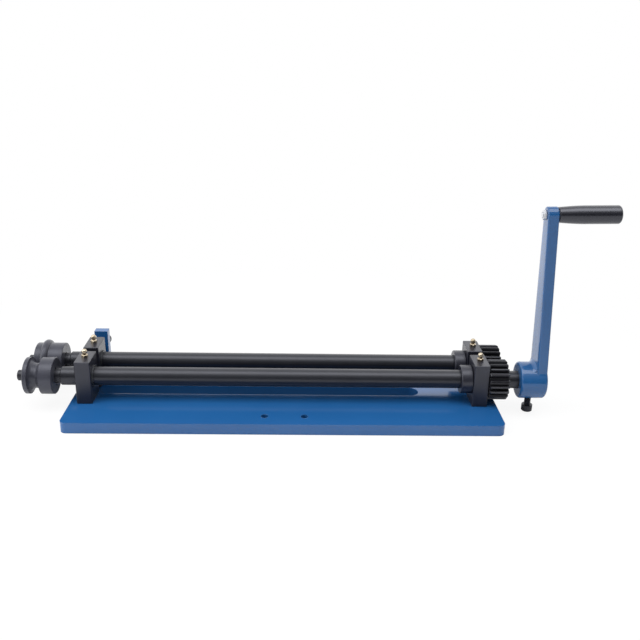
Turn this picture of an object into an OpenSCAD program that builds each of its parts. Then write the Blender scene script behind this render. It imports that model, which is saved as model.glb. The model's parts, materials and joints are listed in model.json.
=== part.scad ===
// Hand cranked bead roller, lying on the back of its frame plate.
// X runs along the shafts towards the crank, Y goes away from the bench edge, Z is up.
// The origin is on the underside of the plate, midway between the two bench holes.

/* [Frame plate] */
// Length of the plate along the shafts
plate_l = 507; // [360:1:660]
// Length of solid plate beyond the closed end of the throat slot
plate_land = 89.6; // [75:0.1:110]
// Distance from the left edge of the plate out to the bead
bead_overhang = 39.3; // [37:0.1:48]
// Width of the plate, front edge to rear edge
plate_w = 172; // [160:1:200]
// Thickness of the plate
plate_t = 13; // [11:0.5:16]
// Radius of the outer corners
plate_corner_r = 8; // [2:0.5:10]
// Width of the front arm, front edge to throat slot
front_arm_w = 75; // [70:1:80]
// Width of the throat slot
slot_w = 22; // [18:1:26]
// Diameter of the two bench holes
bench_hole_d = 8.5; // [6:0.5:12]
// Spacing of the two bench holes
bench_hole_spacing = 46; // [30:1:80]
// Distance from the front edge to the bench holes
bench_hole_inset = 20; // [14:1:24]

/* [Gears] */
// Tooth size: pitch diameter over number of teeth
gear_module = 2.2; // [2.1:0.05:2.3]
// Teeth on each gear
gear_teeth = 20; // [19:1:22]
// Face width of the gears
gear_w = 23; // [16:1:26]
// Pressure angle of the teeth, in degrees
pressure_angle = 20; // [18:1:22]
// Room between the flanks of mating teeth
gear_backlash = 0.55; // [0.5:0.05:0.7]
// Room between a tooth tip and the root that it runs in
gear_tip_room = 0.9; // [0.7:0.1:1.1]
// Chamfer on the ends of the teeth
gear_chamfer = 1.2; // [0.5:0.1:2]

/* [Bearing blocks] */
// Width of a block along the shaft
block_w = 18; // [16:1:22]
// Depth of a block across the plate
block_d = 34; // [32:1:36]
// Height of a block above the plate
block_h = 53; // [48:1:60]
// Height of the shaft axes above the plate
shaft_h = 28.5; // [27:0.5:32]
// Distance from the left edge of the plate to the left blocks' centre
left_inset = 18; // [12:0.5:22]
// Distance from the right edge of the plate to the right blocks' centre
right_inset = 21.5; // [18:0.5:24]
// Chamfer on the edges of a block
block_chamfer = 0.6; // [0.3:0.1:1]
// Wall of a bearing bush
bush_wall = 2; // [1:0.1:2.5]
// How far the left bushes stand out of their blocks
bush_proud = 1.5; // [0.5:0.5:3]

/* [Shafts] */
// Diameter of both shafts
shaft_d = 22; // [20:0.2:23]
// Diameter of the neck beside a die
neck_d = 18.4; // [17:0.2:19.5]
// Length of the neck beside a die
neck_l = 7; // [3:0.5:9]
// Diameter of the seat under a die
die_seat_d = 16; // [14:0.5:16.5]
// Diameter of the seat under gear and crank
gear_seat_d = 21; // [19:0.2:21.6]
// Chamfer on the shaft ends
shaft_chamfer = 0.8; // [0.4:0.1:1.2]
// Width of a thrust collar
collar_w = 13.5; // [10:0.5:18]
// Outer diameter of a thrust collar
collar_d = 34; // [32:0.5:38]

/* [Dies] */
// Gap between the closed dies, for the thinnest sheet
nip_gap = 0.6; // [0.4:0.1:1.2]
// Width of the groove of the female die
groove_w = 13.7; // [12:0.1:14.5]
// Width of the ridge of the male die
ridge_w = 9; // [8:0.1:10.6]
// Height of the ridge
ridge_h = 3.8; // [3:0.1:4.9]
// Width of the outer rim of a die
die_rim_w = 5; // [4:0.5:7]
// Width of the inner drum of a die
die_drum_w = 15; // [12:0.5:18]
// Chamfer on the edges of a die
die_chamfer = 0.6; // [0.3:0.1:1]

/* [Adjuster] */
// Travel of the rear left block
slide_travel = 8; // [5:0.5:9]
// Width of the bracket
bracket_w = 16.5; // [15:0.5:20]
// Thickness of the bracket
bracket_t = 10.5; // [8:0.5:12]
// Height of the bracket above the plate
bracket_h = 53; // [48:1:60]
// Height of the bracket's wide head
bracket_head_h = 6.5; // [5:0.5:10]
// Step from the head back to the post
bracket_step = 2.2; // [1:0.1:2.4]
// Distance from the closed block to the bracket
bracket_gap = 18; // [14:0.5:22]
// Height of the adjusting screw above the plate
adjuster_h = 32.5; // [28:0.5:34]
// Thread diameter of the adjusting screw
adjuster_d = 8; // [6:0.5:9]
// Length of the adjusting screw under its head
adjuster_l = 40; // [38:1:56]
// Side of the weld at the foot of the bracket
weld_side = 4; // [2:0.5:6]

/* [Crank] */
// Distance from the shaft to the grip along the arm
crank_r = 203; // [150:1:230]
// Diameter of the hub
hub_d = 44; // [38:1:46]
// Width of the hub along the shaft
hub_w = 31.6; // [25:0.2:34]
// Gap between the gear and the hub
hub_gap = 14.2; // [10:0.2:20]
// Rounding on the rims of the hub
hub_round = 3; // [1:0.5:4]
// Thickness of the arm at the hub
arm_root_t = 11.6; // [9:0.2:13]
// Thickness of the arm at the grip
arm_tip_t = 12.6; // [10:0.2:14]
// Width of the arm at the shaft
arm_root_w = 35; // [28:1:37]
// Width of the arm at the grip
arm_tip_w = 19; // [16:1:22]
// Rounding on the edges of the arm
arm_round = 1.6; // [1:0.2:2.4]
// Distance from the hub's outer face back to the middle of the arm at the grip
arm_setback = 14.3; // [10:0.1:16]
// Tilt of the grip, outer end up, in degrees
grip_tilt = 1.2; // [0:0.2:2]
// Radius of the fillet from the top of the hub to the arm
hub_fillet = 5; // [3:0.5:7]
// Radius of the fillets from the hub to the sides of the arm
side_fillet = 8; // [4:0.5:9]
// Thread diameter of the clamping screw
crank_screw_d = 8; // [6:0.5:8]
// Length of the clamping screw under its head
crank_screw_l = 22; // [20:0.5:22.4]

/* [Grip] */
// Length of the grip
grip_l = 70.5; // [60:0.5:100]
// Diameter of the grip at the arm
grip_root_d = 17.6; // [16:0.2:20]
// Largest diameter of the grip
grip_d = 21; // [19:0.2:26]
// Rounding of the outer end of the grip
grip_round = 3; // [2:0.5:4]
// Diameter of the spindle inside the grip
spindle_d = 8; // [6:0.5:9]

/* [Hidden] */

// Clearances and the overrun of cuts
overrun = 1;
seat_gap = 0.02;      // between pieces that are pushed together
running_gap = 0.05;   // round a shaft or screw that turns
key_gap = 0.05;       // round a key in its seats
moving_gap = 0.3;     // between faces that pass each other

// Smoothness of round shapes
round_fn = 96;
small_fn = 48;
hull_fn = 32;

// Places on the plate
plate_left = -plate_l / 2;
front_edge = -bench_hole_inset;
slot_front = front_edge + front_arm_w;
sheet_y = slot_front + slot_w / 2;
slot_l = plate_l - plate_land;
slot_end = plate_left + slot_l;

// Shaft places, from the pitch circles of the gears
centre_distance = gear_module * gear_teeth;
front_y = sheet_y - centre_distance / 2;
rear_y = sheet_y + centre_distance / 2;
axis_z = plate_t + shaft_h;
left_x = plate_left + left_inset;
right_x = -plate_left - right_inset;
block_top = plate_t + block_h;
bush_d = shaft_d + 2 * bush_wall;

// Places along the shafts
bead_x = plate_left - bead_overhang;
die_left = bead_x - groove_w / 2 - die_rim_w;
die_right = bead_x + groove_w / 2 + die_drum_w;
neck_right = die_right + neck_l;
gear_left = right_x + block_w / 2 + 2 * moving_gap;
gear_right = gear_left + gear_w;
hub_left = gear_right + hub_gap;
hub_right = hub_left + hub_w;
collar_right = right_x - block_w / 2 - moving_gap;
collar_left = collar_right - collar_w;
die_seat_relief = 0.8;
die_seat_left = die_left + die_seat_relief;
die_d = centre_distance - nip_gap;

// Keys: width, height, length, and the depth of their seats in the shaft
gear_key_w = 6;
gear_key_l = 18;
gear_key_depth = 3.5;
die_key_w = 5;
die_key_l = 20;
die_key_depth = 3;

// Screws that hold the front blocks from beneath
block_screw_d = 6;
block_screw_l = 18;
block_screw_spacing = 20;
cap_recess_room = 0.4;
cap_head_ratio_share = 1.625;
block_hole_spare = 1;

// Bolts under the rear blocks, and the shoe that guides the left one
rear_bolt_d = 8;
rear_bolt_l = 18;
rear_head_d = 13;
rear_head_h = 5;
shoe_w = 12;
shoe_l = 16;
shoe_ledge = recess_depth(rear_head_h);

// Set screw of a collar, washer and screw of a die
set_screw_d = 6;
die_screw_d = 8;
die_screw_l = 18;
die_screw_head_d = 12.6;
die_screw_head_h = 8;
die_washer_d = 16;
die_washer_t = 2.5;

// Head of the adjusting screw and the pocket for its tip
adjuster_head_d = 13;
adjuster_head_h = 8;
pocket_depth = 4;
pocket_room = 1.2;

// Head of the crank's clamping screw
crank_head_d = 13;
crank_head_h = 8;
crank_head_floor = 0.8;

// Grease nipple
nipple_thread_d = 6;
nipple_thread_l = 5;
nipple_hex = 7;
nipple_hex_h = 3.2;
nipple_neck_d = 4.4;
nipple_ball_d = 6.4;
nipple_h = 10;
grease_hole_d = 3;

// Spindle of the grip and its nut
spindle_head_d = 12;
spindle_head_h = 4;
spindle_head_sink = 3;
spindle_thread_d = 6;
nut_across = 10;
nut_t = 4;
nut_proud = 0.6;

// A turned piece: [x, radius] points revolved about the shaft axis at y, z
module turned(points, y, z, fn = round_fn)
    translate([0, y, z]) rotate([0, 90, 0]) rotate_extrude($fn = fn)
        polygon([for (p = points) [p[1], p[0]]]);

// A round bar or bore along X
module bar_x(d, x0, x1, y, z, fn = round_fn)
    translate([x0, y, z]) rotate([0, 90, 0]) cylinder(d = d, h = x1 - x0, $fn = fn);

// A bar with both ends chamfered
module chamfered_bar(d, x0, x1, y, z, c)
    turned([[x0, 0], [x0, d / 2 - c], [x0 + c, d / 2], [x1 - c, d / 2], [x1, d / 2 - c], [x1, 0]], y, z);

// A box given by its two corners
module box_between(low, high)
    translate(low) cube(high - low);

// A cap screw that hangs along -Z from z = 0 under its head, head above, hex socket on top
module cap_screw(d, l, head_d, head_h) {
    c = head_d * socket_chamfer_share;
    difference() {
        union() {
            translate([0, 0, -l]) cylinder(d = d, h = l, $fn = small_fn);
            rotate_extrude($fn = small_fn)
                polygon([
                    [0, 0], [head_d / 2, 0], [head_d / 2, head_h - c], [head_d / 2 - c, head_h], [0, head_h]
                ]);
        }
        translate([0, 0, head_h * socket_floor_share])
            cylinder(d = d * socket_width_share, h = head_h, $fn = 6);
    }
}
socket_chamfer_share = 0.06;
socket_floor_share = 0.45;
socket_width_share = 0.86;

// A key that lies along X, with round ends, sunk into a shaft of radius r
module key_bar(x0, l, w, r, depth, grow) {
    base = r - depth - grow;
    height = w + 2 * grow;
    for (x = [x0 + w / 2, x0 + l - w / 2])
        translate([x, 0, base]) cylinder(d = w + 2 * grow, h = height, $fn = small_fn);
    translate([x0 + w / 2, -w / 2 - grow, base]) cube([l - w, w + 2 * grow, height]);
}

// The keys lie in the middle of their gear or die
gear_key_x = gear_left + (gear_w - gear_key_l) / 2;
module gear_key_shape(grow)
    key_bar(gear_key_x, gear_key_l, gear_key_w, gear_seat_d / 2, gear_key_depth, grow);

die_key_x = (die_left + die_right - die_key_l) / 2;
module die_key_shape(grow)
    key_bar(die_key_x, die_key_l, die_key_w, die_seat_d / 2, die_key_depth, grow);

// The frame plate: outline with round corners, throat slot, bench holes and bolt seats
module frame_plate()
    color([0.16, 0.38, 0.62])
    difference() {
        rounded_plate();
        throat_slot();
        for (side = [-1, 1])
            translate([side * bench_hole_spacing / 2, 0, -overrun])
                cylinder(d = bench_hole_d, h = plate_t + 2 * overrun, $fn = small_fn);
        for (x = [left_x, right_x], side = [-1, 1])
            translate([x, front_y + side * block_screw_spacing / 2, 0])
                screw_seat(block_screw_d, cap_head_d(block_screw_d), block_screw_d);
        translate([right_x, rear_y, 0]) screw_seat(rear_bolt_d, rear_head_d, rear_head_h);
        slide_slot();
    }

// Head diameter of a cap screw of thread diameter d
function cap_head_d(d) = d * cap_head_ratio_share;

module rounded_plate() {
    r = plate_corner_r;
    translate([plate_left, front_edge + r, 0]) cube([plate_l, plate_w - 2 * r, plate_t]);
    translate([plate_left + r, front_edge, 0]) cube([plate_l - 2 * r, plate_w, plate_t]);
    for (x = [plate_left + r, -plate_left - r], y = [front_edge + r, front_edge + plate_w - r])
        translate([x, y, 0]) cylinder(r = r, h = plate_t, $fn = small_fn);
}

module throat_slot() {
    bottom = -overrun;
    height = plate_t + 2 * overrun;
    translate([plate_left - overrun, slot_front, bottom])
        cube([slot_l - slot_w / 2 + overrun, slot_w, height]);
    translate([slot_end - slot_w / 2, sheet_y, bottom]) cylinder(d = slot_w, h = height, $fn = round_fn);
}

// A through hole with a recess for the head in the underside
module screw_seat(d, head_d, head_h) {
    translate([0, 0, -overrun]) cylinder(d = d + 2 * running_gap, h = plate_t + 2 * overrun, $fn = small_fn);
    translate([0, 0, -overrun])
        cylinder(d = head_d + 2 * cap_recess_room, h = recess_depth(head_h) + overrun, $fn = small_fn);
}

// Depth of a recess for a head, so that the head lies below the underside
function recess_depth(head_h) = head_h + 2 * cap_recess_room;

// The slot that guides the shoe, with a wider recess for the bolt head beneath it
module slide_slot() {
    w = shoe_w + 2 * running_gap;
    long = shoe_l + slide_travel + 2 * moving_gap;
    head_w = rear_head_d + 2 * cap_recess_room;
    translate([left_x - w / 2, rear_y - shoe_l / 2 - moving_gap, shoe_ledge])
        cube([w, long, plate_t]);
    for (y = [rear_y, rear_y + slide_travel])
        translate([left_x, y, -overrun]) cylinder(d = head_w, h = shoe_ledge + overrun, $fn = small_fn);
    translate([left_x - head_w / 2, rear_y, -overrun])
        cube([head_w, slide_travel, shoe_ledge + overrun]);
}

// The bracket that carries the adjusting screw: a post with a wider head, welded at its foot
module adjuster_bracket()
    color([0.16, 0.38, 0.62])
    difference() {
        union() {
            box_between([left_x - bracket_w / 2 + bracket_step, bracket_front, plate_t],
                        [left_x + bracket_w / 2, bracket_front + bracket_t, plate_t + bracket_h]);
            bracket_head();
            weld_bead(bracket_front, -1);
            weld_bead(bracket_front + bracket_t, 1);
        }
        translate([left_x, bracket_front - overrun, plate_t + adjuster_h]) rotate([-90, 0, 0])
            cylinder(d = adjuster_d + 2 * running_gap, h = bracket_t + 2 * overrun, $fn = small_fn);
    }

bracket_front = rear_y + block_d / 2 + bracket_gap;

module bracket_head() {
    r = bracket_step;
    x = left_x - bracket_w / 2;
    top = plate_t + bracket_h;
    low = top - bracket_head_h;
    box_between([x, bracket_front, low + r], [left_x, bracket_front + bracket_t, top]);
    box_between([x + r, bracket_front, low], [left_x, bracket_front + bracket_t, top]);
    translate([x + r, bracket_front, low + r]) rotate([-90, 0, 0])
        cylinder(r = r, h = bracket_t, $fn = small_fn);
}

module weld_bead(y, side)
    translate([left_x - bracket_w / 2 + bracket_step, y, plate_t]) rotate([90, 0, 90])
        linear_extrude(bracket_w - bracket_step)
            polygon([[0, 0], [side * weld_side, 0], [0, weld_side]]);

// A bearing block: chamfered body with bush bore and grease hole; the foot is `lift` above the plate
module bearing_block(x, y, lift) {
    low = [x - block_w / 2, y - block_d / 2, plate_t + lift];
    difference() {
        chamfered_box(low, [block_w, block_d, block_h - lift], block_chamfer);
        bar_x(bush_d + 2 * seat_gap, x - block_w / 2 - overrun, x + block_w / 2 + overrun, y, axis_z);
        translate([x, y, axis_z]) cylinder(d = grease_hole_d, h = block_h, $fn = small_fn);
        translate([x, y, block_top - nipple_thread_l - running_gap])
            cylinder(d = nipple_thread_d + 2 * running_gap, h = nipple_thread_l + overrun, $fn = small_fn);
        children();
    }
}

// A box with chamfered edges
module chamfered_box(low, size, c)
    translate(low) intersection() {
        linear_extrude(size[2]) cut_corners(size[0], size[1], c);
        translate([0, size[1], 0]) rotate([90, 0, 0])
            linear_extrude(size[1]) cut_corners(size[0], size[2], c);
        rotate([90, 0, 90]) linear_extrude(size[0]) cut_corners(size[1], size[2], c);
    }

module cut_corners(w, h, c)
    polygon([[c, 0], [w - c, 0], [w, c], [w, h - c], [w - c, h], [c, h], [0, h - c], [0, c]]);

module front_block(x)
    color([0.2, 0.2, 0.22])
    bearing_block(x, front_y, 0)
        for (side = [-1, 1])
            translate([x, front_y + side * block_screw_spacing / 2, plate_t - overrun])
                cylinder(d = block_screw_d + 2 * seat_gap, h = block_screw_depth + overrun, $fn = small_fn);

// The block screws reach this far into their block
block_screw_depth = block_screw_l - plate_t + recess_depth(block_screw_d) + block_hole_spare;

module front_left_block() front_block(left_x);
module front_right_block() front_block(right_x);

module rear_block(x)
    color([0.2, 0.2, 0.22])
    bearing_block(x, rear_y, moving_gap) {
        translate([x, rear_y, plate_t])
            cylinder(d = rear_bolt_d + 2 * seat_gap, h = rear_bolt_reach + overrun, $fn = small_fn);
        if (x == left_x) tip_pocket();
    }

// How far a rear bolt reaches above the plate
rear_bolt_reach = shoe_ledge - moving_gap + rear_bolt_l - plate_t;

// The shallow pocket that takes the tip of the adjusting screw
module tip_pocket()
    translate([left_x, rear_y + block_d / 2 - pocket_depth, plate_t + adjuster_h]) rotate([-90, 0, 0])
        cylinder(d = adjuster_d + pocket_room, h = pocket_depth + overrun, $fn = small_fn);

module rear_left_block() rear_block(left_x);
module rear_right_block() rear_block(right_x);

// A bearing bush with its grease hole
module bush(x, y, proud)
    color([0.24, 0.24, 0.25])
    difference() {
        bar_x(bush_d, x - block_w / 2, x + block_w / 2 + proud, y, axis_z);
        bar_x(shaft_d + 2 * running_gap, x - block_w, x + block_w, y, axis_z);
        translate([x, y, axis_z]) cylinder(d = grease_hole_d, h = bush_d, $fn = small_fn);
    }

module front_left_bush() bush(left_x, front_y, bush_proud);
module front_right_bush() bush(right_x, front_y, 0);
module rear_left_bush() bush(left_x, rear_y, bush_proud);
module rear_right_bush() bush(right_x, rear_y, 0);

// A grease nipple: thread, hexagon with a chamfered top, neck and ball
nipple_ball_angle = 40;
nipple_top_angle = 75;
nipple_crown = 0.8;
module grease_nipple(x, y) {
    ball_z = nipple_h - nipple_ball_d / 2;
    corner_r = nipple_hex / 2 / cos(30);
    crown_r = corner_r + nipple_crown;
    top_r = corner_r - nipple_crown;
    color([0.8, 0.68, 0.4])
    translate([x, y, block_top]) {
        translate([0, 0, -nipple_thread_l])
            cylinder(d = nipple_thread_d, h = nipple_thread_l + nipple_hex_h / 2, $fn = small_fn);
        intersection() {
            rotate(30) cylinder(r = corner_r, h = nipple_hex_h, $fn = 6);
            rotate_extrude($fn = small_fn)
                polygon([
                    [0, -overrun], [crown_r, -overrun], [crown_r, nipple_hex_h - 2 * nipple_crown],
                    [top_r, nipple_hex_h], [top_r, nipple_hex_h + overrun], [0, nipple_hex_h + overrun]
                ]);
        }
        rotate_extrude($fn = small_fn)
            polygon(concat(
                [[0, nipple_hex_h / 2], [nipple_neck_d / 2, nipple_hex_h / 2]],
                arc_points(0, ball_z, nipple_ball_d / 2, -nipple_ball_angle, nipple_top_angle),
                [[0, nipple_h]]
            ));
    }
}

module front_grease_nipples()
    for (x = [left_x, right_x]) grease_nipple(x, front_y);
module rear_left_grease_nipple() grease_nipple(left_x, rear_y);
module rear_right_grease_nipple() grease_nipple(right_x, rear_y);

// The four cap screws that hold the front blocks, heads in the underside of the plate
module front_block_screws()
    color([0.15, 0.15, 0.17])
    for (x = [left_x, right_x], side = [-1, 1])
        translate([x, front_y + side * block_screw_spacing / 2, recess_depth(block_screw_d)])
            mirror([0, 0, 1])
                cap_screw(block_screw_d, block_screw_l, cap_head_d(block_screw_d), block_screw_d);

// The bolts under the rear blocks: the right one is a pivot, the left one rides in the shoe
module rear_bolt(x)
    color([0.15, 0.15, 0.17])
    translate([x, rear_y, shoe_ledge - moving_gap])
        mirror([0, 0, 1]) cap_screw(rear_bolt_d, rear_bolt_l, rear_head_d, rear_head_h);

module rear_pivot_bolt() rear_bolt(right_x);
module rear_slide_bolt() rear_bolt(left_x);

// The shoe that slides in the plate and lets the left bolt turn in it
module slide_shoe()
    color([0.5, 0.5, 0.52])
    difference() {
        box_between([left_x - shoe_w / 2, rear_y - shoe_l / 2, shoe_ledge + running_gap],
                    [left_x + shoe_w / 2, rear_y + shoe_l / 2, plate_t - running_gap]);
        translate([left_x, rear_y, 0])
            cylinder(d = rear_bolt_d + 2 * running_gap, h = plate_t + overrun, $fn = small_fn);
    }

// Both shafts: die seat, neck, journal and gear seat; the front one runs on to the crank
module shaft(y, end_x)
    color([0.24, 0.24, 0.26])
    difference() {
        turned([
            [die_seat_left, 0], [die_seat_left, die_seat_d / 2 - shaft_chamfer],
            [die_seat_left + shaft_chamfer, die_seat_d / 2],
            [die_right, die_seat_d / 2], [die_right, neck_d / 2],
            [neck_right, neck_d / 2], [neck_right, shaft_d / 2 - shaft_chamfer],
            [neck_right + shaft_chamfer, shaft_d / 2],
            [gear_left, shaft_d / 2], [gear_left, gear_seat_d / 2],
            [end_x - shaft_chamfer, gear_seat_d / 2], [end_x, gear_seat_d / 2 - shaft_chamfer], [end_x, 0]
        ], y, axis_z);
        translate([0, y, axis_z]) {
            gear_key_shape(key_gap);
            die_key_shape(key_gap);
        }
        bar_x(die_screw_d + 2 * seat_gap, die_seat_left - overrun, die_left + die_screw_l, y, axis_z);
    }

module front_shaft() shaft(front_y, hub_right);
module rear_shaft() shaft(rear_y, gear_right);

// A thrust collar with its set screw hole
module collar(y)
    color([0.22, 0.22, 0.24])
    difference() {
        chamfered_bar(collar_d, collar_left, collar_right, y, axis_z, shaft_chamfer);
        bar_x(shaft_d + 2 * seat_gap, collar_left - overrun, collar_right + overrun, y, axis_z);
        translate([(collar_left + collar_right) / 2, y, axis_z]) rotate([-90, 0, 0])
            cylinder(d = set_screw_d + 2 * seat_gap, h = collar_d, $fn = small_fn);
    }

module front_collar() collar(front_y);
module rear_collar() collar(rear_y);

// A socket set screw that bears on the shaft inside its collar
module collar_set_screw(y) {
    r0 = shaft_d / 2 + seat_gap;
    r1 = collar_d / 2 - shaft_chamfer;
    color([0.12, 0.12, 0.13])
    translate([(collar_left + collar_right) / 2, y, axis_z]) rotate([-90, 0, 0])
        difference() {
            translate([0, 0, r0]) cylinder(d = set_screw_d, h = r1 - r0, $fn = small_fn);
            translate([0, 0, (r0 + r1) / 2]) cylinder(d = set_screw_d / 2, h = r1, $fn = 6);
        }
}

module front_collar_set_screw() collar_set_screw(front_y);
module rear_collar_set_screw() collar_set_screw(rear_y);

// Involute teeth. Angle from the middle of a tooth to its flank at radius r, in degrees
pitch_r = centre_distance / 2;
base_r = pitch_r * cos(pressure_angle);
tip_r = pitch_r + gear_module;
root_r = pitch_r - gear_module - gear_tip_room;
function involute_angle(r) = r <= base_r ? 0 : tan(acos(base_r / r)) * 180 / PI - acos(base_r / r);
pitch_half_angle = (90 / gear_teeth) - (gear_backlash / 4 / pitch_r) * 180 / PI;
function flank_half_angle(r) = pitch_half_angle + involute_angle(pitch_r) - involute_angle(r);
flank_steps = 6;
flank_low_r = max(base_r, root_r);
function polar(r, a) = [r * cos(a), r * sin(a)];

// One flank as points from root to tip, on the side given by the sign of `side`
function flank(middle, side) = [
    for (s = [0 : flank_steps])
        let (r = flank_low_r + (tip_r - flank_low_r) * s / flank_steps)
        polar(r, middle + side * flank_half_angle(r))
];
function reversed(points) = [for (i = [len(points) - 1 : -1 : 0]) points[i]];

// Outline of one gear; `turn` is the angle of the first tooth
root_relief_angle = 0.9;
root_half_angle = flank_half_angle(flank_low_r) + root_relief_angle;
function gear_outline(turn) = [
    for (i = [0 : gear_teeth - 1])
        let (middle = turn + i * 360 / gear_teeth)
        each concat(
            [polar(root_r, middle - root_half_angle)], flank(middle, -1),
            reversed(flank(middle, 1)), [polar(root_r, middle + root_half_angle)]
        )
];

// A spur gear with chamfered ends, bore and keyway
module spur_gear(y, turn)
    color([0.17, 0.17, 0.19])
    difference() {
        intersection() {
            translate([gear_left, y, axis_z]) rotate([0, 90, 0]) rotate([0, 0, 90])
                linear_extrude(gear_w) polygon(gear_outline(turn));
            turned([
                [gear_left, 0], [gear_left, tip_r - gear_chamfer],
                [gear_left + gear_chamfer + overrun, tip_r + overrun],
                [gear_right - gear_chamfer - overrun, tip_r + overrun],
                [gear_right, tip_r - gear_chamfer], [gear_right, 0]
            ], y, axis_z);
        }
        bar_x(gear_seat_d + 2 * seat_gap, gear_left - overrun, gear_right + overrun, y, axis_z);
        translate([0, y, axis_z])
            key_way(gear_left, gear_right, gear_key_w, gear_seat_d / 2 - gear_key_depth + gear_key_w);
    }

// A keyway through a bore: from the bore up to the top of the key
module key_way(x0, x1, w, top_r)
    translate([x0 - overrun, -w / 2 - key_gap, 0])
        cube([x1 - x0 + 2 * overrun, w + 2 * key_gap, top_r + key_gap]);

// A tooth of the front gear points at the rear gear, which has a gap there
module front_gear() spur_gear(front_y, 0);
module rear_gear() spur_gear(rear_y, 180 + 180 / gear_teeth);

module gear_key(y)
    color([0.45, 0.45, 0.47])
    translate([0, y, axis_z]) gear_key_shape(0);

module front_gear_key() gear_key(front_y);
module rear_gear_key() gear_key(rear_y);

// Points of an arc in [x, radius] form, from angle a0 to a1 about a centre
arc_steps = 12;
function arc_points(cx, cr, r, a0, a1) = [
    for (s = [0 : arc_steps]) let (a = a0 + (a1 - a0) * s / arc_steps) [cx + r * cos(a), cr + r * sin(a)]
];

// The bead tools have the same rims and drum, and a groove or a ridge between them
module die(y, bead)
    color([0.25, 0.25, 0.28])
    difference() {
        turned(concat(
            [[die_left, 0], [die_left, die_d / 2 - die_chamfer], [die_left + die_chamfer, die_d / 2]],
            bead,
            [[die_right - die_chamfer, die_d / 2], [die_right, die_d / 2 - die_chamfer], [die_right, 0]]
        ), y, axis_z);
        bar_x(die_seat_d + 2 * seat_gap, die_left - overrun, die_right + overrun, y, axis_z);
        translate([0, y, axis_z])
            key_way(die_left, die_right, die_key_w, die_seat_d / 2 - die_key_depth + die_key_w);
    }

// The groove is a half circle of its own width
module female_die()
    die(front_y, arc_points(bead_x, die_d / 2, groove_w / 2, 180, 360));

// The ridge is an arc over its own width
ridge_r = (pow(ridge_w / 2, 2) + pow(ridge_h, 2)) / (2 * ridge_h);
ridge_half_angle = asin(ridge_w / 2 / ridge_r);
module male_die()
    die(rear_y, arc_points(
        bead_x, die_d / 2 + ridge_h - ridge_r, ridge_r, 90 + ridge_half_angle, 90 - ridge_half_angle
    ));

module die_key(y)
    color([0.45, 0.45, 0.47])
    translate([0, y, axis_z]) die_key_shape(0);

module front_die_key() die_key(front_y);
module rear_die_key() die_key(rear_y);

module die_washer(y)
    color([0.3, 0.3, 0.32])
    difference() {
        bar_x(washer_d, die_left - die_washer_t, die_left, y, axis_z);
        bar_x(die_screw_d + 2 * running_gap, die_left - die_washer_t - overrun, die_left + overrun,
              y, axis_z);
    }
washer_d = max(die_washer_d, die_seat_d + 2 * die_chamfer);

module front_die_washer() die_washer(front_y);
module rear_die_washer() die_washer(rear_y);

// The screw that holds a die on its seat
module die_screw(y)
    color([0.2, 0.2, 0.22])
    translate([die_left - die_washer_t, y, axis_z]) rotate([0, -90, 0])
        cap_screw(die_screw_d, die_screw_l, die_screw_head_d, die_screw_head_h);

module front_die_screw() die_screw(front_y);
module rear_die_screw() die_screw(rear_y);

// The adjusting screw pushes the rear left block towards the front shaft
module adjusting_screw()
    color([0.13, 0.13, 0.14])
    translate([left_x, rear_y + block_d / 2 - pocket_depth + moving_gap + adjuster_l, plate_t + adjuster_h])
        rotate([-90, 0, 0]) cap_screw(adjuster_d, adjuster_l, adjuster_head_d, adjuster_head_h);

// The eye of the arm: origin in the middle of the arm, X along the grip
eye_x = hub_right - arm_setback;
module at_eye()
    translate([eye_x, front_y, axis_z + crank_r]) rotate([0, -grip_tilt, 0]) children();

// The crank: cast hub and tapered arm with rounded edges
module crank()
    color([0.2, 0.42, 0.66])
    difference() {
        union() {
            turned(concat(
                [[hub_left, 0]],
                arc_points(hub_left + hub_round, hub_d / 2 - hub_round, hub_round, 180, 90),
                arc_points(hub_right - hub_round, hub_d / 2 - hub_round, hub_round, 90, 0),
                [[hub_right, 0]]
            ), front_y, axis_z);
            arm();
            top_fillet();
            for (side = [-1, 1]) flank_fillet(side);
        }
        bar_x(gear_seat_d + 2 * seat_gap, hub_left - overrun, hub_right + overrun, front_y, axis_z);
        translate([crank_screw_x, front_y, 0])
            cylinder(d = crank_screw_d + 2 * seat_gap, h = axis_z, $fn = small_fn);
        at_eye() translate([-arm_tip_t, 0, 0]) rotate([0, 90, 0])
            cylinder(d = spindle_thread_d + 2 * seat_gap, h = 2 * arm_tip_t, $fn = small_fn);
    }

crank_screw_x = hub_left + hub_w / 2;

// The arm at a height above the shaft: half its width, and the places of its two faces
arm_sink = 0.3;
arm_x = hub_right - arm_sink - arm_root_t / 2;
function arm_half_w(h) = (arm_root_w - (arm_root_w - arm_tip_w) * h / crank_r) / 2;
function arm_mid_x(h) = arm_x + (eye_x - arm_x) * h / crank_r;
function arm_half_t(h) = (arm_root_t + (arm_tip_t - arm_root_t) * h / crank_r) / 2;

// The arm: a hull between its root across the hub and the round eye at the grip
module arm()
    hull() {
        at_eye() rounded_disc(arm_tip_w, arm_tip_t, arm_round);
        for (side = [-1, 1])
            translate([arm_x, front_y + side * (arm_root_w - arm_tip_w) / 2, axis_z])
                rounded_disc(arm_tip_w, arm_root_t, arm_round);
    }

// A disc about the X axis with rounded rims
rim_steps = 3;
module rounded_disc(d, t, r)
    rotate([0, 90, 0]) rotate_extrude($fn = hull_fn)
        polygon(concat([[0, -t / 2]],
            [for (s = [0 : rim_steps]) let (a = -90 + 90 * s / rim_steps)
                [d / 2 - r + r * cos(a), -t / 2 + r + r * sin(a)]],
            [for (s = [0 : rim_steps]) let (a = 90 * s / rim_steps)
                [d / 2 - r + r * cos(a), t / 2 - r + r * sin(a)]],
            [[0, t / 2]]));

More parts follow.
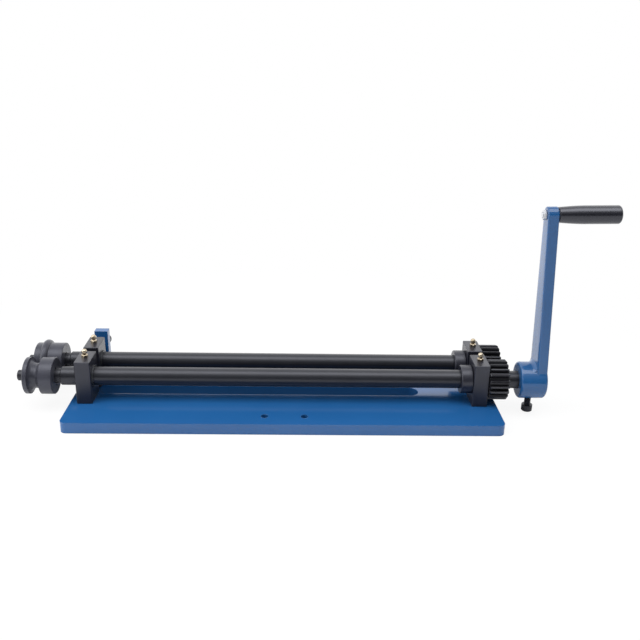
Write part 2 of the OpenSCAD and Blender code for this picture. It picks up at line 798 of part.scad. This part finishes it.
// The fillet from the hub's rim up to the arm's inner face, as wide as the flat of the arm
module top_fillet() {
    h = hub_d / 2 + hub_fillet;
    face_x = arm_mid_x(h) - arm_half_t(h);
    half_w = arm_half_w(h) - arm_round;
    intersection() {
        turned(concat(
            [[face_x - hub_fillet, 0]],
            arc_points(face_x - hub_fillet, h, hub_fillet, -90, 0),
            [[arm_x, h], [arm_x, 0]]
        ), front_y, axis_z);
        box_between([hub_left, front_y - half_w, axis_z],
                    [hub_right, front_y + half_w, axis_z + h + overrun]);
    }
}

// The fillet from the hub's round to one side of the arm
module flank_fillet(side) {
    reach = hub_d / 2 + side_fillet;
    y = arm_half_w(hub_d / 2) + side_fillet;
    z = sqrt(pow(reach, 2) - pow(y, 2));
    t = arm_root_t - 2 * arm_round;
    translate([arm_mid_x(z) - t / 2, front_y, axis_z]) rotate([90, 0, 90])
        linear_extrude(t) difference() {
            polygon([[0, 0], [side * y, z], [0, z]]);
            translate([side * y, z]) circle(r = side_fillet, $fn = round_fn);
        }
}

// The screw that clamps the crank on the shaft, from the side away from the arm
module crank_screw()
    color([0.13, 0.13, 0.14])
    translate([crank_screw_x, front_y, crank_head_floor + crank_head_h]) mirror([0, 0, 1])
        cap_screw(crank_screw_d, crank_screw_l, crank_head_d, crank_head_h);

// The grip turns on its spindle: slim at the arm, full in the hand, round at the end
grip_gap = 0.6;
grip_edge = 0.6;
grip_full_share = 0.45;
module grip()
    color([0.14, 0.14, 0.15])
    at_eye() translate([arm_tip_t / 2 + grip_gap, 0, 0]) rotate([0, 90, 0]) difference() {
        rotate_extrude($fn = round_fn) polygon(concat([[0, 0]], grip_swell, grip_end, [[0, grip_l]]));
        translate([0, 0, -overrun])
            cylinder(d = spindle_d + 2 * running_gap, h = grip_l + 2 * overrun, $fn = small_fn);
        translate([0, 0, grip_l - spindle_head_h - spindle_head_sink])
            cylinder(d = spindle_head_d + 2 * moving_gap, h = grip_l, $fn = small_fn);
    }

// Outline of the grip as [radius, distance from the arm]
grip_swell = concat(
    [[grip_root_d / 2 - grip_edge, 0]],
    [for (s = [0 : arc_steps]) let (k = s / arc_steps) [
        grip_root_d / 2 + (grip_d - grip_root_d) / 2 * sin(90 * k),
        grip_edge + (grip_l * grip_full_share - grip_edge) * k
    ]]
);
grip_end = [
    for (p = arc_points(grip_l - grip_round, grip_d / 2 - grip_round, grip_round, 90, 0)) [p[1], p[0]]
];

// The spindle: a shoulder screw with its head sunk in the grip and its thread through the arm
spindle_head_base = grip_gap + grip_l - spindle_head_h - spindle_head_sink;
module grip_spindle() {
    thread_l = arm_tip_t + nut_t + nut_proud;
    color([0.7, 0.7, 0.72])
    at_eye() translate([arm_tip_t / 2, 0, 0]) rotate([0, 90, 0]) difference() {
        union() {
            cylinder(d = spindle_d, h = spindle_head_base + moving_gap, $fn = small_fn);
            translate([0, 0, spindle_head_base + moving_gap])
                cylinder(d = spindle_head_d, h = spindle_head_h - moving_gap, $fn = small_fn);
            translate([0, 0, -thread_l]) cylinder(d = spindle_thread_d, h = thread_l, $fn = small_fn);
        }
        translate([0, 0, spindle_head_base + spindle_head_h / 2])
            cylinder(d = spindle_thread_d, h = spindle_head_h, $fn = 6);
    }
}

// The nut on the inner face of the arm
module spindle_nut()
    color([0.8, 0.8, 0.82])
    at_eye() translate([-arm_tip_t / 2 - nut_t, 0, 0]) rotate([0, 90, 0]) difference() {
        cylinder(d = nut_across / cos(30), h = nut_t, $fn = 6);
        translate([0, 0, -overrun])
            cylinder(d = spindle_thread_d + 2 * seat_gap, h = nut_t + 2 * overrun, $fn = small_fn);
    }

frame_plate();
adjuster_bracket();
front_left_block();
front_right_block();
rear_left_block();
rear_right_block();
front_left_bush();
front_right_bush();
rear_left_bush();
rear_right_bush();
front_grease_nipples();
rear_left_grease_nipple();
rear_right_grease_nipple();
front_block_screws();
rear_pivot_bolt();
rear_slide_bolt();
slide_shoe();
front_shaft();
rear_shaft();
front_collar();
rear_collar();
front_collar_set_screw();
rear_collar_set_screw();
front_gear();
rear_gear();
front_gear_key();
rear_gear_key();
female_die();
male_die();
front_die_key();
rear_die_key();
front_die_washer();
rear_die_washer();
front_die_screw();
rear_die_screw();
adjusting_screw();
crank();
crank_screw();
grip();
grip_spindle();
spindle_nut();
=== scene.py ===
import json
import math

import bpy
from mathutils import Matrix, Vector

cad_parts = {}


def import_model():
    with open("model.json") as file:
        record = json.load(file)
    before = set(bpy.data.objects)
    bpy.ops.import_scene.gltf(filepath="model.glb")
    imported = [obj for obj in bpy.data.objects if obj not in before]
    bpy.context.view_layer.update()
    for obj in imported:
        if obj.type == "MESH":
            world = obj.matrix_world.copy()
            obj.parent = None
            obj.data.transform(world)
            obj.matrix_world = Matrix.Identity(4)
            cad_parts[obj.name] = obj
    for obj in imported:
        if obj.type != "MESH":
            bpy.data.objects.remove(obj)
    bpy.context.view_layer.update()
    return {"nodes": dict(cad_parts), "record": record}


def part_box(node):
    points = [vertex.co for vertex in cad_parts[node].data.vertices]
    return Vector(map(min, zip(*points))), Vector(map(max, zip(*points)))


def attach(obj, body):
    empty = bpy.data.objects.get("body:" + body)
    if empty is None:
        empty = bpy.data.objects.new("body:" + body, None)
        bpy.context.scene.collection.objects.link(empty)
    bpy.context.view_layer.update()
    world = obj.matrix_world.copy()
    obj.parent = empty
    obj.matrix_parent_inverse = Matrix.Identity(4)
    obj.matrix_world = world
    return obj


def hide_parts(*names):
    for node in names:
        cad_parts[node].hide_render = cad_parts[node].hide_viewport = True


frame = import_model()
nodes = frame["nodes"]
MM = 0.001


# Node trees

def feed(tree, socket, value):
    """Sets a socket to a plain value, or links it where the value comes from another node."""
    if isinstance(value, bpy.types.NodeSocket):
        tree.links.new(value, socket)
    else:
        socket.default_value = value


def map_range(tree, value, span, low, high, interpolation="LINEAR"):
    """Takes value from the span to the range low..high, and holds it at both ends."""
    node = tree.nodes.new("ShaderNodeMapRange")
    node.interpolation_type = interpolation
    feed(tree, node.inputs["Value"], value)
    feed(tree, node.inputs["From Min"], span[0])
    feed(tree, node.inputs["From Max"], span[1])
    feed(tree, node.inputs["To Min"], low)
    feed(tree, node.inputs["To Max"], high)
    return node.outputs["Result"]


def maths(tree, operation, a, b):
    node = tree.nodes.new("ShaderNodeMath")
    node.operation = operation
    feed(tree, node.inputs[0], a)
    feed(tree, node.inputs[1], b)
    return node.outputs["Value"]


def ramp(tree, value, stops):
    """Colour ramp: stops are (position, colour)."""
    node = tree.nodes.new("ShaderNodeValToRGB")
    elements = node.color_ramp.elements
    while len(elements) < len(stops):
        elements.new(0.5)
    for element, (position, colour) in zip(elements, stops):
        element.position = position
        element.color = colour
    feed(tree, node.inputs["Fac"], value)
    return node.outputs["Color"]


# Materials: noise scales are per metre, reliefs are (depth, strength, radius shown on sharp edges)

NOISE_SPAN = (0.3, 0.7)   # nearly all of a noise lies in here
BEVEL_SAMPLES = 4
WHITE = (1, 1, 1, 1)
COOL = (0.88, 0.9, 1.0, 1.0)

# How a noise is drawn out
EVEN = (1, 1, 1)
ALONG_X = (0.02, 1, 1)
ALONG_TEETH = (0.05, 1, 1)
ROUND_X = (1, 0.03, 0.03)

PAINT_IOR = 1.53
PAINT_BLOTCHES = 9
PAINT_SPAN = (0.35, 0.65)
PAINT_SMEARS = 30
PAINT_GLOSS = (0.09, 0.13)
PAINT_PEEL = 420
PAINT_RELIEF = (0.03 * MM, 0.15, 0.6 * MM)

STEEL_IOR = 1.53
DIE_IOR = 1.45
STEEL_BLOTCHES = 60
STEEL_SPAN = (0.35, 0.68)
STEEL_RELIEF = (0.03 * MM, 0.35, 0.3 * MM)
STEEL_GRAIN = 700
SHAFT_LINES = 900
DIE_LINES = 1800
GEAR_LINES = 900
BUSH_LINES = 1400

METAL_BLOTCHES = 150
METAL_GRAIN = 500
METAL_RELIEF = (0.02 * MM, 0.4, 0.2 * MM)

PLASTIC_IOR = 1.68
PLASTIC_BLOTCHES = 25
PLASTIC_SMEARS = 12
PLASTIC_GLOSS = (0.25, 0.28)


def srgb(r, g, b):
    """Linear colour from 0..255 screen values."""
    def lin(c):
        c /= 255
        return c / 12.92 if c <= 0.04045 else ((c + 0.055) / 1.055) ** 2.4
    return (lin(r), lin(g), lin(b), 1.0)


class Mat:
    """A node material built step by step."""

    def __init__(self, name, metallic=0.0, ior=1.5, tint=WHITE):
        self.mat = bpy.data.materials.new(name)
        self.mat.use_nodes = True
        self.tree = self.mat.node_tree
        self.shader = self.tree.nodes["Principled BSDF"]
        self.shader.inputs["Metallic"].default_value = metallic
        self.shader.inputs["IOR"].default_value = ior
        self.shader.inputs["Specular Tint"].default_value = tint
        self.coords = self.tree.nodes.new("ShaderNodeTexCoord").outputs["Object"]

    def noise(self, scale, stretch=EVEN, detail=3.0):
        """Noise over the object's own coordinates; a small stretch value draws it out along that axis."""
        mapping = self.tree.nodes.new("ShaderNodeMapping")
        feed(self.tree, mapping.inputs["Scale"], stretch)
        feed(self.tree, mapping.inputs["Vector"], self.coords)
        texture = self.tree.nodes.new("ShaderNodeTexNoise")
        feed(self.tree, texture.inputs["Scale"], scale)
        feed(self.tree, texture.inputs["Detail"], detail)
        feed(self.tree, texture.inputs["Vector"], mapping.outputs["Vector"])
        return texture.outputs["Fac"]

    def tone(self, value, span, dark, light):
        """The colour: dark below the span and light above it."""
        shades = ramp(self.tree, value, [(span[0], dark), (span[1], light)])
        feed(self.tree, self.shader.inputs["Base Color"], shades)

    def rough(self, value, gloss):
        """The roughness: gloss holds its two ends."""
        feed(self.tree, self.shader.inputs["Roughness"], map_range(self.tree, value, NOISE_SPAN, *gloss))

    def bump(self, value, relief):
        """Surface relief, with the rounding shown on sharp edges."""
        depth, strength, edge = relief
        node = self.tree.nodes.new("ShaderNodeBump")
        feed(self.tree, node.inputs["Distance"], depth)
        feed(self.tree, node.inputs["Strength"], strength)
        feed(self.tree, node.inputs["Height"], value)
        bevel = self.tree.nodes.new("ShaderNodeBevel")
        bevel.samples = BEVEL_SAMPLES
        feed(self.tree, bevel.inputs["Radius"], edge)
        feed(self.tree, node.inputs["Normal"], bevel.outputs["Normal"])
        feed(self.tree, self.shader.inputs["Normal"], node.outputs["Normal"])


def gloss_paint(name, dark, light):
    """Sprayed gloss paint: nearly even in tone, with a faint orange peel."""
    m = Mat(name, ior=PAINT_IOR)
    m.tone(m.noise(PAINT_BLOTCHES, detail=2), PAINT_SPAN, dark, light)
    m.rough(m.noise(PAINT_SMEARS, detail=4), PAINT_GLOSS)
    m.bump(m.noise(PAINT_PEEL, detail=2), PAINT_RELIEF)
    return m.mat


def black_steel(name, dark, light, gloss, stretch=EVEN, grain=STEEL_GRAIN, ior=STEEL_IOR):
    """Blackened steel: blotches in the tone, fine lines in the gloss and the relief."""
    m = Mat(name, ior=ior, tint=COOL)
    m.tone(m.noise(STEEL_BLOTCHES, detail=4), STEEL_SPAN, dark, light)
    lines = m.noise(grain, stretch=stretch)
    m.rough(lines, gloss)
    m.bump(lines, STEEL_RELIEF)
    return m.mat


def metal(name, dark, light, gloss):
    """Bare or plated metal with a fine grain."""
    m = Mat(name, metallic=1.0)
    m.tone(m.noise(METAL_BLOTCHES, detail=4), NOISE_SPAN, dark, light)
    grain = m.noise(METAL_GRAIN)
    m.rough(grain, gloss)
    m.bump(grain, METAL_RELIEF)
    return m.mat


def plastic(name, dark, light):
    """Smooth moulded plastic."""
    m = Mat(name, ior=PLASTIC_IOR, tint=COOL)
    m.tone(m.noise(PLASTIC_BLOTCHES, detail=2), NOISE_SPAN, dark, light)
    m.rough(m.noise(PLASTIC_SMEARS, detail=1), PLASTIC_GLOSS)
    return m.mat


# Name, kind, darkest and lightest colour, and for metals the roughness, then what is special
LOOKS = [
    ("blue_paint", gloss_paint, srgb(31, 87, 144), srgb(34, 91, 149)),
    # The crank gets the blue paint made a little darker, as painted shade
    ("crank_paint", gloss_paint, srgb(29, 80, 131), srgb(32, 84, 136)),
    ("black_steel", black_steel, srgb(30, 31, 39), srgb(36, 37, 46), (0.29, 0.38)),
    ("shaft_steel", black_steel, srgb(24, 25, 30), srgb(29, 30, 35), (0.3, 0.38), ALONG_X, SHAFT_LINES),
    ("die_steel", black_steel, srgb(53, 54, 62), srgb(61, 62, 71), (0.28, 0.36), ROUND_X, DIE_LINES,
     DIE_IOR),
    ("gear_steel", black_steel, srgb(20, 20, 24), srgb(25, 25, 29), (0.28, 0.36), ALONG_TEETH,
     GEAR_LINES),
    ("black_screws", black_steel, srgb(22, 22, 26), srgb(30, 30, 34), (0.34, 0.46)),
    ("bush_steel", black_steel, srgb(38, 40, 42), srgb(50, 52, 54), (0.36, 0.46), ROUND_X, BUSH_LINES),
    ("brass", metal, srgb(150, 137, 116), srgb(200, 188, 167), (0.16, 0.3)),
    ("bright_steel", metal, srgb(150, 150, 154), srgb(178, 178, 180), (0.28, 0.4)),
    ("zinc", metal, srgb(176, 178, 183), srgb(200, 202, 206), (0.2, 0.32)),
    ("dark_plastic", plastic, srgb(18, 19, 26), srgb(22, 23, 31)),
]
MATERIALS = {name: make(name, *values) for name, make, *values in LOOKS}
# Nodes whose look is a variant of the material in their record; the crank's darker blue is painted shade
NODE_MATERIAL = {"front_gear": "gear_steel", "rear_gear": "gear_steel", "crank": "crank_paint"}
for entry in frame["record"]["subparts"]:
    name = entry["node"]
    obj = nodes[name]
    if not obj.material_slots:
        obj.data.materials.append(None)
    for material_slot in obj.material_slots:
        material_slot.link = "OBJECT"
        material_slot.material = MATERIALS[NODE_MATERIAL.get(name, entry["material_slot"])]


# Detailed pieces: rings of points round the Z axis, joined by a skin

STEPS = 96               # points in a ring
SMOOTH_ANGLE = 30        # degrees; sharper edges stay sharp

M8 = 8 * MM
M8_PITCH = 1.25 * MM
M8_SOCKET = 6 * MM
HEAD_D = 13 * MM
HEAD_H = 8 * MM
HEAD_CHAMFER = 0.7 * MM
HEAD_LEAD = 0.3 * MM     # chamfer under the head
KNURL = 0.12 * MM        # depth of the knurling
KNURL_END = 0.2 * MM     # from the knurling to the chamfers
SOCKET_CHAMFER = 0.25 * MM
SOCKET_DEPTH = 0.55      # shares of the head's height: sides of the socket, then its tip
SOCKET_TIP = 0.65
TIP_R = 0.2 * MM         # stands in for a point, so that each ring keeps its width
THREAD_INSET = 0.02 * MM
NECK_INSET = 0.1 * MM    # between the thread and the head
NECK_L = 0.3 * MM
THREAD_END = 0.4 * MM
THREAD_DEPTH = 0.6       # share of the pitch
THREAD_FLANK = 0.98      # share of the depth that the flanks reach
THREAD_START = 0.2       # share of the depth at the low end, which grows to all of it
RINGS_PER_TURN = 6

NUT_ACROSS = 10 * MM
NUT_T = 4 * MM
NUT_BORE = 6.04 * MM
NUT_SINK = 0.4 * MM      # countersink of the bore
NUT_FLAT = 0.95          # round face, as a share of the width across the flats
NUT_CHAMFER = 28         # degrees
NUT_TURN = 30            # degrees, as the nut lies in the CAD


def mesh_from_rings(name, rings, material, loop=False):
    """A closed skin over rings of equally many points; the end rings are capped, or joined in a loop."""
    count = len(rings[0])
    points = [point for ring in rings for point in ring]
    faces = []
    for i in range(len(rings) if loop else len(rings) - 1):
        this = i * count
        following = (i + 1) % len(rings) * count
        for j in range(count):
            k = (j + 1) % count
            faces.append((this + j, this + k, following + k, following + j))
    if not loop:
        faces.append(tuple(reversed(range(count))))
        last = (len(rings) - 1) * count
        faces.append(tuple(range(last, last + count)))
    mesh = bpy.data.meshes.new(name)
    mesh.from_pydata(points, [], faces)
    mesh.materials.append(MATERIALS[material])
    for polygon in mesh.polygons:
        polygon.use_smooth = True
    mesh.set_sharp_from_angle(angle=math.radians(SMOOTH_ANGLE))
    obj = bpy.data.objects.new(name, mesh)
    bpy.context.scene.collection.objects.link(obj)
    return obj


def detail(node, body, rings, material, origin, axis, loop=False):
    """Puts a skin over rings in the place of a node's plain solid, with its Z axis as given."""
    obj = mesh_from_rings(node + "_detail", rings, material, loop)
    turn = Vector((0, 0, 1)).rotation_difference(Vector(axis)).to_matrix().to_4x4()
    obj.data.transform(Matrix.Translation(origin) @ turn)
    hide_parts(node)
    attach(obj, body)


def hexagon_radius(angle, across):
    """Distance from the axis to a hexagon's side, across flats given."""
    sector = math.radians(60)
    return across / 2 / math.cos((angle + sector / 2) % sector - sector / 2)


def ring(radius, z):
    """One ring; radius is a number or a function of the angle, and so is z."""
    points = []
    for j in range(STEPS):
        angle = 2 * math.pi * j / STEPS
        r = radius(angle) if callable(radius) else radius
        h = z(angle) if callable(z) else z
        points.append((r * math.cos(angle), r * math.sin(angle), h))
    return points


def thread_rings(outer, pitch, low, high):
    """Rings of a right-handed thread from z = low to z = high, run out at the low end."""
    depth = THREAD_DEPTH * pitch
    count = int((high - low) / pitch * RINGS_PER_TURN)
    rings = []
    for i in range(count + 1):
        z = low + (high - low) * i / count
        run_out = min(1.0, (z - low) / pitch + THREAD_START)

        def radius(angle, z=z, run_out=run_out):
            phase = (z / pitch - angle / (2 * math.pi)) % 1.0
            flank = (1 - abs(2 * phase - 1)) * THREAD_FLANK
            return outer - depth * (1 - run_out) - depth * run_out * flank
        rings.append(ring(radius, z))
    return rings


def middle(node):
    """Middle of a node's box, and the box's low and high corners."""
    low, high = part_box(node)
    return [(a + b) / 2 for a, b in zip(low, high)], low, high


def cap_screw(node, body, axis, head_d=HEAD_D):
    """An M8 socket cap screw as long as the node: threaded shank, and a knurled head towards axis."""
    origin, low, high = middle(node)
    i = max(range(3), key=lambda n: abs(axis[n]))
    length = high[i] - low[i] - HEAD_H
    origin[i] = (high[i] if axis[i] > 0 else low[i]) - axis[i] * HEAD_H
    chamfer_z = HEAD_H - HEAD_CHAMFER

    def knurled(angle):
        return head_d / 2 - KNURL * (0.5 - 0.5 * math.cos(angle * STEPS / 2))

    def socket(angle):
        return hexagon_radius(angle, M8_SOCKET)
    rings = [
        ring(TIP_R, -length),
        *thread_rings(M8 / 2 - THREAD_INSET, M8_PITCH, -length, -THREAD_END),
        ring(M8 / 2 - NECK_INSET, -NECK_L),
        ring(M8 / 2 - NECK_INSET, 0),
        ring(head_d / 2 - HEAD_LEAD, 0),
        ring(head_d / 2, HEAD_LEAD),
        ring(knurled, HEAD_LEAD + KNURL_END),
        ring(knurled, chamfer_z - KNURL_END),
        ring(head_d / 2, chamfer_z),
        ring(head_d / 2 - HEAD_CHAMFER, HEAD_H),
        ring(lambda angle: socket(angle) + SOCKET_CHAMFER, HEAD_H),
        ring(socket, HEAD_H - SOCKET_CHAMFER),
        ring(socket, HEAD_H * (1 - SOCKET_DEPTH)),
        ring(TIP_R, HEAD_H * (1 - SOCKET_TIP)),
    ]
    detail(node, body, rings, "black_screws", origin, axis)


def hex_nut(node, body, axis):
    """A nut with chamfered corners and a countersunk bore, its corners where the CAD nut has them."""
    flat = NUT_ACROSS / 2 * NUT_FLAT

    def outer(angle):
        return hexagon_radius(angle + math.radians(NUT_TURN), NUT_ACROSS)

    def drop(angle):
        return (outer(angle) - flat) * math.tan(math.radians(NUT_CHAMFER))
    rings = [
        ring(NUT_BORE / 2, NUT_SINK),
        ring(NUT_BORE / 2 + NUT_SINK, 0),
        ring(flat, 0),
        ring(outer, drop),
        ring(outer, lambda angle: NUT_T - drop(angle)),
        ring(flat, NUT_T),
        ring(NUT_BORE / 2 + NUT_SINK, NUT_T),
        ring(NUT_BORE / 2, NUT_T - NUT_SINK),
    ]
    origin = Vector(middle(node)[0]) - NUT_T / 2 * axis
    detail(node, body, rings, "zinc", origin, axis, loop=True)


cap_screw("adjusting_screw", "adjuster", (0, 1, 0))
cap_screw("crank_screw", "front_spindle", (0, 0, -1))
for side in ("front", "rear"):
    low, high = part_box(side + "_die_screw")
    cap_screw(side + "_die_screw", side + "_spindle", (-1, 0, 0), high[2] - low[2])
joints = {joint["name"]: joint for joint in frame["record"]["behaviour"]["joints"]}
hex_nut("spindle_nut", "front_spindle", Vector(joints["grip_spin"]["axis"]))


# Studio: dim in front of the object, bright behind it, with a white floor

SKY_STRENGTH = 2.0
# Levels over the sine of the elevation
BACK_SKY = [(0.0, 1.5), (0.5, 1.5), (0.73, 1.5), (0.91, 1.15), (1.0, 1.15)]
FRONT_SKY = [(0.0, 0.1), (0.3, 0.1), (0.5, 0.25), (0.68, 0.52), (0.83, 1.05), (1.0, 1.05)]
BACK_SKY_SHARE = 0.52             # of the back sky, for rays that aren't reflections
SKY_BLEND = (-0.25, 0.25)         # from the front sky to the back sky

FLOOR_HALF = 12                   # metres, as all lengths here
FLOOR_WHITE = (0.93, 0.93, 0.93, 1)
FLOOR_DIM = 0.9                   # what the floor gives back
FLOOR_UNDER_SHADE = 0.1                 # the same under the plate: painted shade, darker for the light the floor bounces and reflects there
PLATE_SHADE = (0.06, 0.09)        # distances from the plate's middle line between the two
FLOOR_FADE = (0.35, 0.6)          # distances over which the floor turns into pure white
FLOOR_GLOW = 0.9                  # share of pure white close by, for the camera
BEHIND_GLOW = 1.5                 # the white in reflections, behind the object
BEHIND = (0.1, 0.4)

# Name, place, what it is turned to, size, radiance
LAMPS = [
    ("overhead", (-0.2, -0.27, 1.5), (-0.2, -0.27, 0), (2.6, 0.9), 2.85),
    ("left", (-1.5, -0.4, 0.8), (0, 0.05, 0), (1.4, 1.4), 2.3),
]

PICTURE = 640
FOCAL_LENGTH = 786.623            # in the picture's pixels, as the principal point
PRINCIPAL_POINT = (322.109, 306.303)
CAMERA_PLACE = (0.01379, -0.808336, 0.447772)
CAMERA_YAW = 0.033
CAMERA_PITCH = 0.354
CAMERA_ROLL = 0.023
SENSOR = 36
CLIP = (0.05, 60)


def grey_sky(tree, height, stops):
    levels = [level / SKY_STRENGTH for _, level in stops]
    return ramp(tree, height, [(z, (level, level, level, 1)) for (z, _), level in zip(stops, levels)])


def world():
    """The studio's light; the camera sees pure white."""
    studio = bpy.data.worlds.new("studio")
    bpy.context.scene.world = studio
    studio.use_nodes = True
    tree = studio.node_tree
    path = tree.nodes.new("ShaderNodeLightPath").outputs
    split = tree.nodes.new("ShaderNodeSeparateXYZ")
    feed(tree, split.inputs["Vector"], tree.nodes.new("ShaderNodeTexCoord").outputs["Generated"])
    back = grey_sky(tree, split.outputs["Z"], BACK_SKY)
    share = map_range(tree, path["Is Glossy Ray"], (0.0, 1.0), BACK_SKY_SHARE, 1.0)
    blend = tree.nodes.new("ShaderNodeMix")
    side = map_range(tree, split.outputs["Y"], SKY_BLEND, 0.0, 1.0, "SMOOTHSTEP")
    feed(tree, blend.inputs["Factor"], side)
    feed(tree, blend.inputs["A"], grey_sky(tree, split.outputs["Z"], FRONT_SKY))
    feed(tree, blend.inputs["B"], maths(tree, "MULTIPLY", back, share))
    sky = tree.nodes["Background"]
    feed(tree, sky.inputs["Strength"], SKY_STRENGTH)
    feed(tree, sky.inputs["Color"], blend.outputs["Result"])
    white = tree.nodes.new("ShaderNodeBackground")
    feed(tree, white.inputs["Color"], WHITE)
    choose = tree.nodes.new("ShaderNodeMixShader")
    feed(tree, choose.inputs["Fac"], path["Is Camera Ray"])
    feed(tree, choose.inputs[1], sky.outputs["Background"])
    feed(tree, choose.inputs[2], white.outputs["Background"])
    feed(tree, tree.nodes["World Output"].inputs["Surface"], choose.outputs["Shader"])


def from_plate(tree, coords):
    """Distance from the plate's middle line: half the plate's width at its edges, all round."""
    centre, low, high = middle("frame_plate")
    offset = tree.nodes.new("ShaderNodeVectorMath")
    offset.operation = "SUBTRACT"
    feed(tree, offset.inputs[0], coords)
    feed(tree, offset.inputs[1], centre)
    aside = tree.nodes.new("ShaderNodeVectorMath")
    aside.operation = "ABSOLUTE"
    feed(tree, aside.inputs[0], offset.outputs["Vector"])
    split = tree.nodes.new("ShaderNodeSeparateXYZ")
    feed(tree, split.inputs["Vector"], aside.outputs["Vector"])
    line_half = (high[0] - low[0] - high[1] + low[1]) / 2
    past_line = maths(tree, "SUBTRACT", split.outputs["X"], line_half)
    return maths(tree, "MAXIMUM", past_line, split.outputs["Y"])


def floor():
    """A large white floor that keeps a faint shadow of the object; under the plate it gives back little
    light, a painted shade for bounced and reflected light.
    """
    half = FLOOR_HALF
    corners = [(-half, -half, 0), (half, -half, 0), (half, half, 0), (-half, half, 0)]
    mesh = bpy.data.meshes.new("floor")
    mesh.from_pydata(corners, [], [(0, 1, 2, 3)])
    obj = bpy.data.objects.new("floor", mesh)
    bpy.context.scene.collection.objects.link(obj)
    mat = bpy.data.materials.new("floor_white")
    mat.use_nodes = True
    tree = mat.node_tree
    tree.nodes.clear()
    path = tree.nodes.new("ShaderNodeLightPath").outputs
    coords = tree.nodes.new("ShaderNodeTexCoord").outputs["Object"]

    tone = tree.nodes.new("ShaderNodeMix")
    tone.data_type = "RGBA"
    feed(tree, tone.inputs["Factor"], path["Is Camera Ray"])
    # painted shade: the floor beneath the plate gives back little light to the object
    under = map_range(tree, from_plate(tree, coords), PLATE_SHADE, FLOOR_UNDER_SHADE, FLOOR_DIM)
    feed(tree, tone.inputs["A"], under)
    feed(tree, tone.inputs["B"], FLOOR_WHITE)
    diffuse = tree.nodes.new("ShaderNodeBsdfDiffuse")
    feed(tree, diffuse.inputs["Color"], tone.outputs["Result"])

    split = tree.nodes.new("ShaderNodeSeparateXYZ")
    feed(tree, split.inputs["Vector"], coords)
    gain = map_range(tree, path["Is Glossy Ray"], (0.0, 1.0), 1.0, BEHIND_GLOW)
    glow = tree.nodes.new("ShaderNodeEmission")
    feed(tree, glow.inputs["Strength"], map_range(tree, split.outputs["Y"], BEHIND, 1.0, gain))

    distance = tree.nodes.new("ShaderNodeVectorMath")
    distance.operation = "LENGTH"
    feed(tree, distance.inputs[0], coords)
    away = distance.outputs["Value"]
    seen = maths(tree, "MULTIPLY", path["Is Camera Ray"], map_range(tree, away, FLOOR_FADE, FLOOR_GLOW, 1.0))
    mirrored = maths(tree, "MULTIPLY", path["Is Glossy Ray"], map_range(tree, away, FLOOR_FADE, 0.0, 1.0))
    mix = tree.nodes.new("ShaderNodeMixShader")
    feed(tree, mix.inputs["Fac"], maths(tree, "ADD", seen, mirrored))
    feed(tree, mix.inputs[1], diffuse.outputs["BSDF"])
    feed(tree, mix.inputs[2], glow.outputs["Emission"])
    feed(tree, tree.nodes.new("ShaderNodeOutputMaterial").inputs["Surface"], mix.outputs["Shader"])
    mesh.materials.append(mat)


def lamp(name, place, aim, size, radiance):
    """A soft box of the given size and radiance, turned towards aim."""
    light = bpy.data.lights.new(name, "AREA")
    light.shape = "RECTANGLE"
    light.size, light.size_y = size
    light.energy = radiance * math.pi * size[0] * size[1]
    obj = bpy.data.objects.new(name, light)
    obj.location = place
    obj.rotation_euler = (Vector(aim) - Vector(place)).to_track_quat("-Z", "Y").to_euler()
    bpy.context.scene.collection.objects.link(obj)


def camera():
    """The photograph's view, from a fit to its edges."""
    level = math.cos(CAMERA_PITCH)
    forward = Vector((math.sin(CAMERA_YAW) * level, math.cos(CAMERA_YAW) * level, -math.sin(CAMERA_PITCH)))
    right = Vector((math.cos(CAMERA_YAW), -math.sin(CAMERA_YAW), 0))
    up = right.cross(forward)
    rolled_right = math.cos(CAMERA_ROLL) * right + math.sin(CAMERA_ROLL) * up
    rolled_up = -math.sin(CAMERA_ROLL) * right + math.cos(CAMERA_ROLL) * up
    data = bpy.data.cameras.new("camera")
    data.sensor_width = SENSOR
    data.lens = FOCAL_LENGTH / PICTURE * SENSOR
    data.shift_x = (PICTURE / 2 - PRINCIPAL_POINT[0]) / PICTURE
    data.shift_y = (PRINCIPAL_POINT[1] - PICTURE / 2) / PICTURE
    data.clip_start, data.clip_end = CLIP
    obj = bpy.data.objects.new("camera", data)
    bpy.context.scene.collection.objects.link(obj)
    basis = Matrix((rolled_right, rolled_up, -forward)).transposed().to_4x4()
    obj.matrix_world = Matrix.Translation(CAMERA_PLACE) @ basis
    bpy.context.scene.camera = obj


world()
floor()
for lamp_values in LAMPS:
    lamp(*lamp_values)
camera()
bpy.context.scene.view_settings.view_transform = "Standard"
